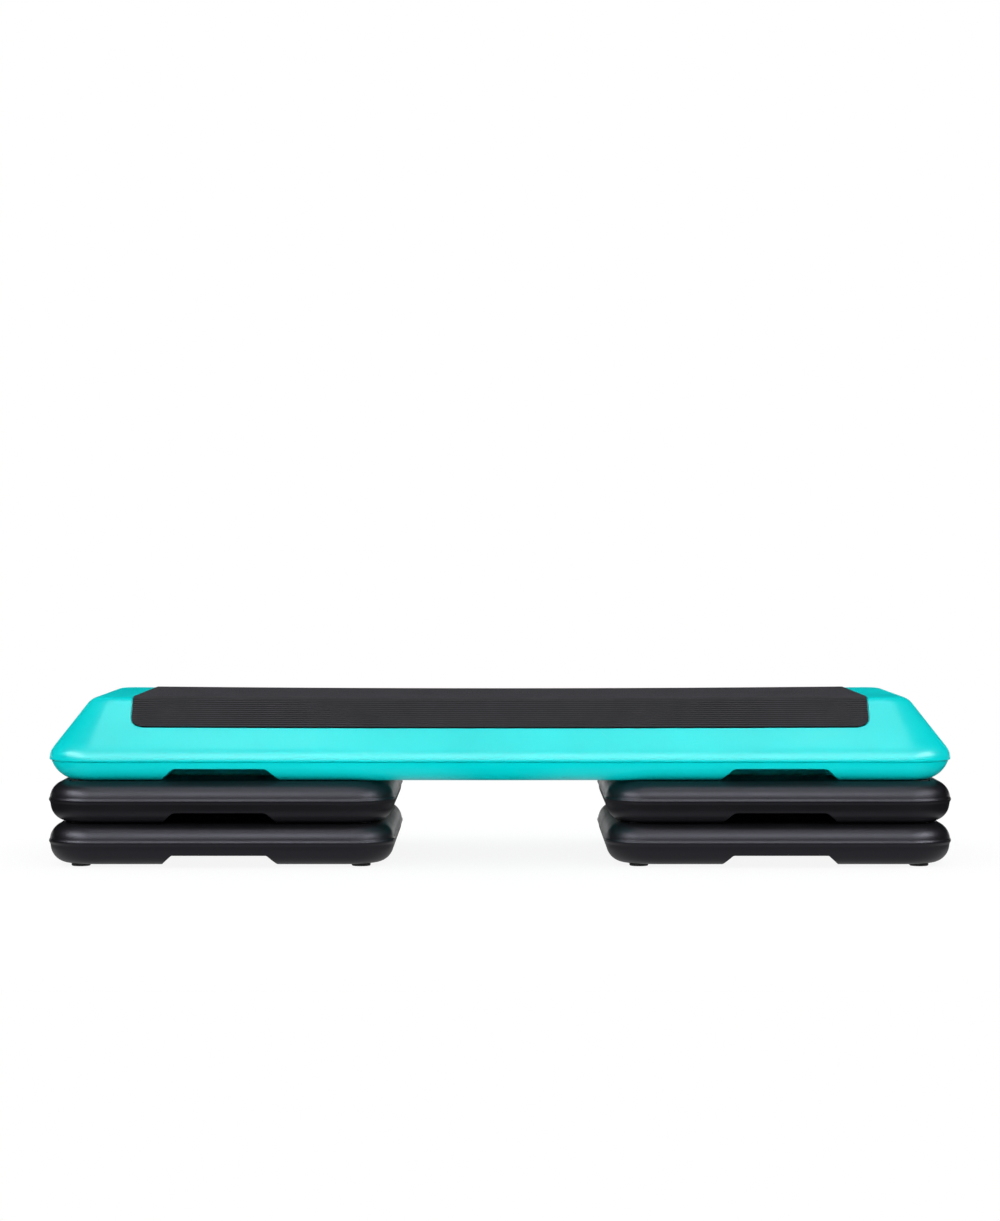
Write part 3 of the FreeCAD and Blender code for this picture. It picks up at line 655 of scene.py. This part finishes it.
def rib_strip():
    """Make one rib with its share of the sheet under it, open at both sides."""
    shape = bmesh.new()
    block = bmesh.ops.create_cube(shape, size=1.0)["verts"]
    bmesh.ops.scale(shape, vec=(MAT_LENGTH, rib_pitch, 1.0), verts=block)
    sides = [face for face in shape.faces if abs(face.normal.y) > 0.5]
    bmesh.ops.delete(shape, geom=sides, context="FACES_ONLY")
    over = []
    for edge in shape.edges:
        first, second = edge.verts
        if min(first.co.z, second.co.z) > 0.0 and abs(first.co.y - second.co.y) > CLOSE:
            over.append(edge)
    bmesh.ops.subdivide_edges(shape, edges=over, cuts=RIB_STEPS - 1, use_grid_fill=True)
    for point in shape.verts:
        if point.co.z < 0.0:
            point.co.z = -(MAT_THICKNESS - RIB_HEIGHT)
            continue
        rung = round(abs(point.co.y) / (rib_pitch / RIB_STEPS))
        share, rise = RIB_LINE[rung]
        point.co.y = math.copysign(share * rib_pitch, point.co.y)
        point.co.z = rise * RIB_HEIGHT
    return shape


def fold_over(point):
    """Carry a point of the flat sheet over the deck and down the slope."""
    out = abs(point.co.y)
    height = point.co.z
    turned = min(max((out - half_deck) / bend, 0.0), slope_angle)
    down = max(out - half_deck - bend * slope_angle, 0.0)
    y = min(out, half_deck) + (bend + height) * math.sin(turned) + down * math.cos(slope_angle)
    z = bend * (math.cos(turned) - 1.0) - down * math.sin(slope_angle) + height * math.cos(turned)
    point.co.y = math.copysign(y, point.co.y)
    point.co.z = z


mat = rib_strip()
first_rib = list(mat.verts) + list(mat.edges) + list(mat.faces)
bmesh.ops.translate(mat, vec=(0.0, (rib_pitch - 2.0 * half_run) / 2.0, 0.0), verts=mat.verts)
bmesh.ops.spin(
    mat, geom=first_rib, angle=0.0, steps=RIBS - 1, dvec=(0.0, rib_pitch, 0.0), axis=(1.0, 0.0, 0.0),
    use_duplicate=True,
)
bmesh.ops.remove_doubles(mat, verts=mat.verts, dist=MERGE_DISTANCE)
bmesh.ops.holes_fill(mat, edges=[edge for edge in mat.edges if edge.is_boundary], sides=0)
bmesh.ops.recalc_face_normals(mat, faces=mat.faces)
raised = mat.verts.layers.float.new("raised")
for point in mat.verts:
    past = max(abs(point.co.y) - (half_run - MAT_CORNER), 0.0)
    drawn_in = MAT_GAP + MAT_CORNER - math.sqrt(max(MAT_CORNER ** 2 - past ** 2, 0.0))
    point.co.x -= math.copysign(drawn_in, point.co.x)
    point[raised] = point.co.z / RIB_HEIGHT
for point in mat.verts:
    fold_over(point)
bmesh.ops.translate(mat, vec=(0.0, 0.0, PLATFORM_HEIGHT + valley), verts=mat.verts)
sink_deck(mat)
bmesh.ops.translate(mat, vec=(0.0, 0.0, platform_base), verts=mat.verts)
grip_mat = to_piece(to_mesh(mat, "grip_mat_ribbed"), "grip_mat_ribbed")
grip_mat.data.set_sharp_from_angle(angle=math.radians(RIB_CREASE_ANGLE))


def make_mat_rubber():
    """Matt black rubber with a fine speck, with painted shade darkening it between the ribs and paler rubbed
    tops.
    """
    material = bpy.data.materials.new("mat_rubber")
    material.use_nodes = True
    tree = material.node_tree
    shader = tree.nodes["Principled BSDF"]
    shader.inputs["Specular IOR Level"].default_value = MAT_SHINE
    place = add_node(tree, "TexCoord").outputs["Object"]
    clouds = add_node(tree, "TexNoise", {"Vector": place, "Scale": MAT_MOTTLE, "Detail": 6.0})
    specks = add_node(tree, "TexNoise", {"Vector": place, "Scale": MAT_SPECKS, "Detail": 2.0})
    mottle = clouds.outputs["Fac"]
    speck = specks.outputs["Fac"]
    both = work_out(tree, "ADD", mottle, speck)
    colour = add_node(tree, "ValToRGB", {"Fac": work_out(tree, "MULTIPLY", both, 0.5)})
    for stop, (position, tone) in zip(colour.color_ramp.elements, MAT_TONES.items()):
        stop.position = position
        stop.color = (*tone, 1.0)
    # Painted shade: the colour is scaled down in the valleys between the ribs and up on their tops.
    raised_mark = add_node(tree, "Attribute", attribute_name="raised")
    rib_painted_shade = remap(tree, raised_mark.outputs["Fac"], RIB_FLANK, RIB_PAINTED_SHADE)
    with_painted_shade = add_node(tree, "VectorMath", {0: colour.outputs["Color"], 3: rib_painted_shade}, operation="SCALE")
    rough = remap(tree, mottle, NOISE_MIDDLE, MAT_ROUGHNESS)
    bump = add_node(tree, "Bump", {"Strength": MAT_GRAIN, "Distance": GRAIN_DEPTH, "Height": speck})
    tree.links.new(with_painted_shade.outputs[0], shader.inputs["Base Color"])
    tree.links.new(rough, shader.inputs["Roughness"])
    tree.links.new(bump.outputs["Normal"], shader.inputs["Normal"])
    return material


grip_mat.data.materials.append(make_mat_rubber())
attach(grip_mat, "platform_body")
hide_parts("grip_mat")


# Floor: a wide pale studio floor that the feet stand on, with a faint shadow kept round the step, and
# plain white behind it. In reflections only, the floor glows in a strip close to each stack: a painted
# reflection on the plastic.
FLOOR_HALF = 30.0
FLOOR_GLOW = 0.9
SHADOW_FADE = (0.3, 1.1)
# Painted reflection: how far from the stacks the floor's glow in reflections fades, and how bright it is.
PAINTED_REFLECTION_FADE = (0.04, 0.10)
PAINTED_REFLECTION = (0.5, 0.02)


def stack_distance(tree):
    """How far a point of the floor is from the nearer stack of risers."""
    stack = (riser_centre, 0.0, 0.0)
    stack_half = (RISER_SIDE / 2.0, RISER_SIDE / 2.0, 0.0)
    place = add_node(tree, "TexCoord").outputs["Object"]
    mirrored = add_node(tree, "VectorMath", {0: place}, operation="ABSOLUTE").outputs[0]
    moved = add_node(tree, "VectorMath", {0: mirrored, 1: stack}, operation="SUBTRACT").outputs[0]
    quarter = add_node(tree, "VectorMath", {0: moved}, operation="ABSOLUTE").outputs[0]
    beyond = add_node(tree, "VectorMath", {0: quarter, 1: stack_half}, operation="SUBTRACT").outputs[0]
    outside = add_node(tree, "VectorMath", {0: beyond, 1: (0.0, 0.0, 0.0)}, operation="MAXIMUM").outputs[0]
    return add_node(tree, "VectorMath", {0: outside}, operation="LENGTH").outputs["Value"]


def make_floor_white():
    """White to the camera, with most of the shadow lifted; in reflections it glows only near the stacks, a
    painted reflection.
    """
    material = bpy.data.materials.new("studio_white")
    material.use_nodes = True
    material.cycles.emission_sampling = "NONE"
    tree = material.node_tree
    tree.nodes.remove(tree.nodes["Principled BSDF"])
    distance = stack_distance(tree)
    near = remap(tree, distance, SHADOW_FADE, (1.0, 0.0))
    glow = remap(tree, near, FULL_RANGE, (1.0, FLOOR_GLOW))
    lit = remap(tree, near, FULL_RANGE, (0.0, 1.0 - FLOOR_GLOW))
    glowing = add_node(tree, "Emission", {"Strength": glow})
    shadowed = add_node(tree, "BsdfDiffuse", {"Color": lit})
    shown = add_node(tree, "AddShader", {0: glowing.outputs[0], 1: shadowed.outputs[0]})
    ray = add_node(tree, "LightPath")
    # Painted reflection: in glossy rays the floor glows, brightest beside each stack and fading out a little
    # way off.
    close_by = remap(tree, distance, PAINTED_REFLECTION_FADE, PAINTED_REFLECTION)
    painted_sheen = work_out(tree, "MULTIPLY", close_by, ray.outputs["Is Glossy Ray"])
    reflected = add_node(tree, "Emission", {"Strength": painted_sheen})
    chosen = add_node(
        tree, "MixShader", {0: ray.outputs["Is Camera Ray"], 1: reflected.outputs[0], 2: shown.outputs[0]},
    )
    tree.links.new(chosen.outputs[0], tree.nodes["Material Output"].inputs["Surface"])
    return material


floor_shape = bmesh.new()
bmesh.ops.create_grid(floor_shape, x_segments=1, y_segments=1, size=FLOOR_HALF)
floor = to_piece(to_mesh(floor_shape, "studio_floor"), "studio_floor")
floor.data.materials.append(make_floor_white())
world = bpy.data.worlds.new("studio")
bpy.context.scene.world = world
world.use_nodes = True
sky = world.node_tree
backdrop = sky.nodes["Background"]
backdrop.inputs["Color"].default_value = (1.0, 1.0, 1.0, 1.0)
sky.links.new(add_node(sky, "LightPath").outputs["Is Camera Ray"], backdrop.inputs["Strength"])


# Lights: a room of broad pale screens that fill every side evenly, with two sheets on the floor that
# throw light back up. Softboxes give the shine: one in front, two over the deck, one off each front
# corner and a low strip behind.
FILL = 1.12
FRONT_FILL = 0.9 * FILL
BOUNCE = 1.1
BOUNCE_MIDDLE = 1.82
BOUNCE_HEIGHT = 0.0005
ROOM = 7.0
WALL = ROOM / 2.0
SCREEN_MIDDLE = WALL / 2.0
ROOM_MIDDLE = (0.0, 0.0, SCREEN_MIDDLE)
STEP_MIDDLE = (0.0, 0.0, 0.1)


def add_softbox(name, place, target, width, depth, radiance, shine):
    """Hang a rectangular softbox whose face is as bright as asked, for the fill or for the shine."""
    lamp = bpy.data.lights.new(name, "AREA")
    lamp.shape = "RECTANGLE"
    lamp.size = width
    lamp.size_y = depth
    lamp.energy = radiance * math.pi * width * depth
    lamp.cycles.use_multiple_importance_sampling = shine
    holder = bpy.data.objects.new(name, lamp)
    holder.location = place
    holder.rotation_euler = (Vector(target) - Vector(place)).to_track_quat("-Z", "Y").to_euler()
    holder.visible_camera = False
    holder.visible_diffuse = not shine
    holder.visible_glossy = shine
    bpy.context.scene.collection.objects.link(holder)


def add_screen(name, across, along, radiance):
    """Stand one pale screen of the room, facing its middle."""
    add_softbox(
        name, (across, along, SCREEN_MIDDLE), ROOM_MIDDLE, width=ROOM, depth=WALL, radiance=radiance,
        shine=False,
    )


add_softbox("ceiling", (0.0, 0.0, WALL), (0.0, 0.0, 0.0), width=ROOM, depth=ROOM, radiance=FILL, shine=False)
for sign in FRONT_AND_BACK:
    along = sign * BOUNCE_MIDDLE
    add_softbox(
        f"floor_bounce_{sign:+.0f}", (0.0, along, BOUNCE_HEIGHT), (0.0, along, 1.0), width=ROOM, depth=3.2,
        radiance=BOUNCE, shine=False,
    )
add_softbox("low_back_strip", (0.0, 3.0, 0.1), STEP_MIDDLE, width=6.0, depth=0.2, radiance=2.0, shine=True)
add_screen("front_screen", 0.0, -WALL, FRONT_FILL)
add_screen("back_screen", 0.0, WALL, FILL)
add_softbox("front_softbox", (0.0, -2.0, 1.65), STEP_MIDDLE, width=2.2, depth=0.9, radiance=6.3, shine=True)
for side, sign in SIDES.items():
    add_screen(f"{side}_screen", sign * WALL, 0.0, FILL)
    add_softbox(
        f"{side}_top_softbox", (sign * 0.58, -0.56, 2.3), STEP_MIDDLE, width=0.85, depth=0.8, radiance=4.2,
        shine=True,
    )
    add_softbox(
        f"{side}_corner_softbox", (sign * 1.95, -1.25, 1.45), STEP_MIDDLE, width=1.8, depth=0.6,
        radiance=13.0, shine=True,
    )


# Camera: straight in front and a little above the deck, as in the photo, tilted slightly down, with a
# long lens that hardly shrinks the far edges.
CAMERA_PLACE = (0.0, -4.18, 0.383)
CAMERA_TILT = 1.05
SENSOR_WIDTH = 36.0
LENS = 97.54
camera_data = bpy.data.cameras.new("camera")
camera_data.sensor_fit = "AUTO"
camera_data.sensor_width = SENSOR_WIDTH
camera_data.lens = LENS
camera = bpy.data.objects.new("camera", camera_data)
camera.location = CAMERA_PLACE
camera.rotation_euler = (math.radians(90.0 - CAMERA_TILT), 0.0, 0.0)
bpy.context.scene.collection.objects.link(camera)
bpy.context.scene.camera = camera
bpy.context.scene.view_settings.view_transform = "Standard"
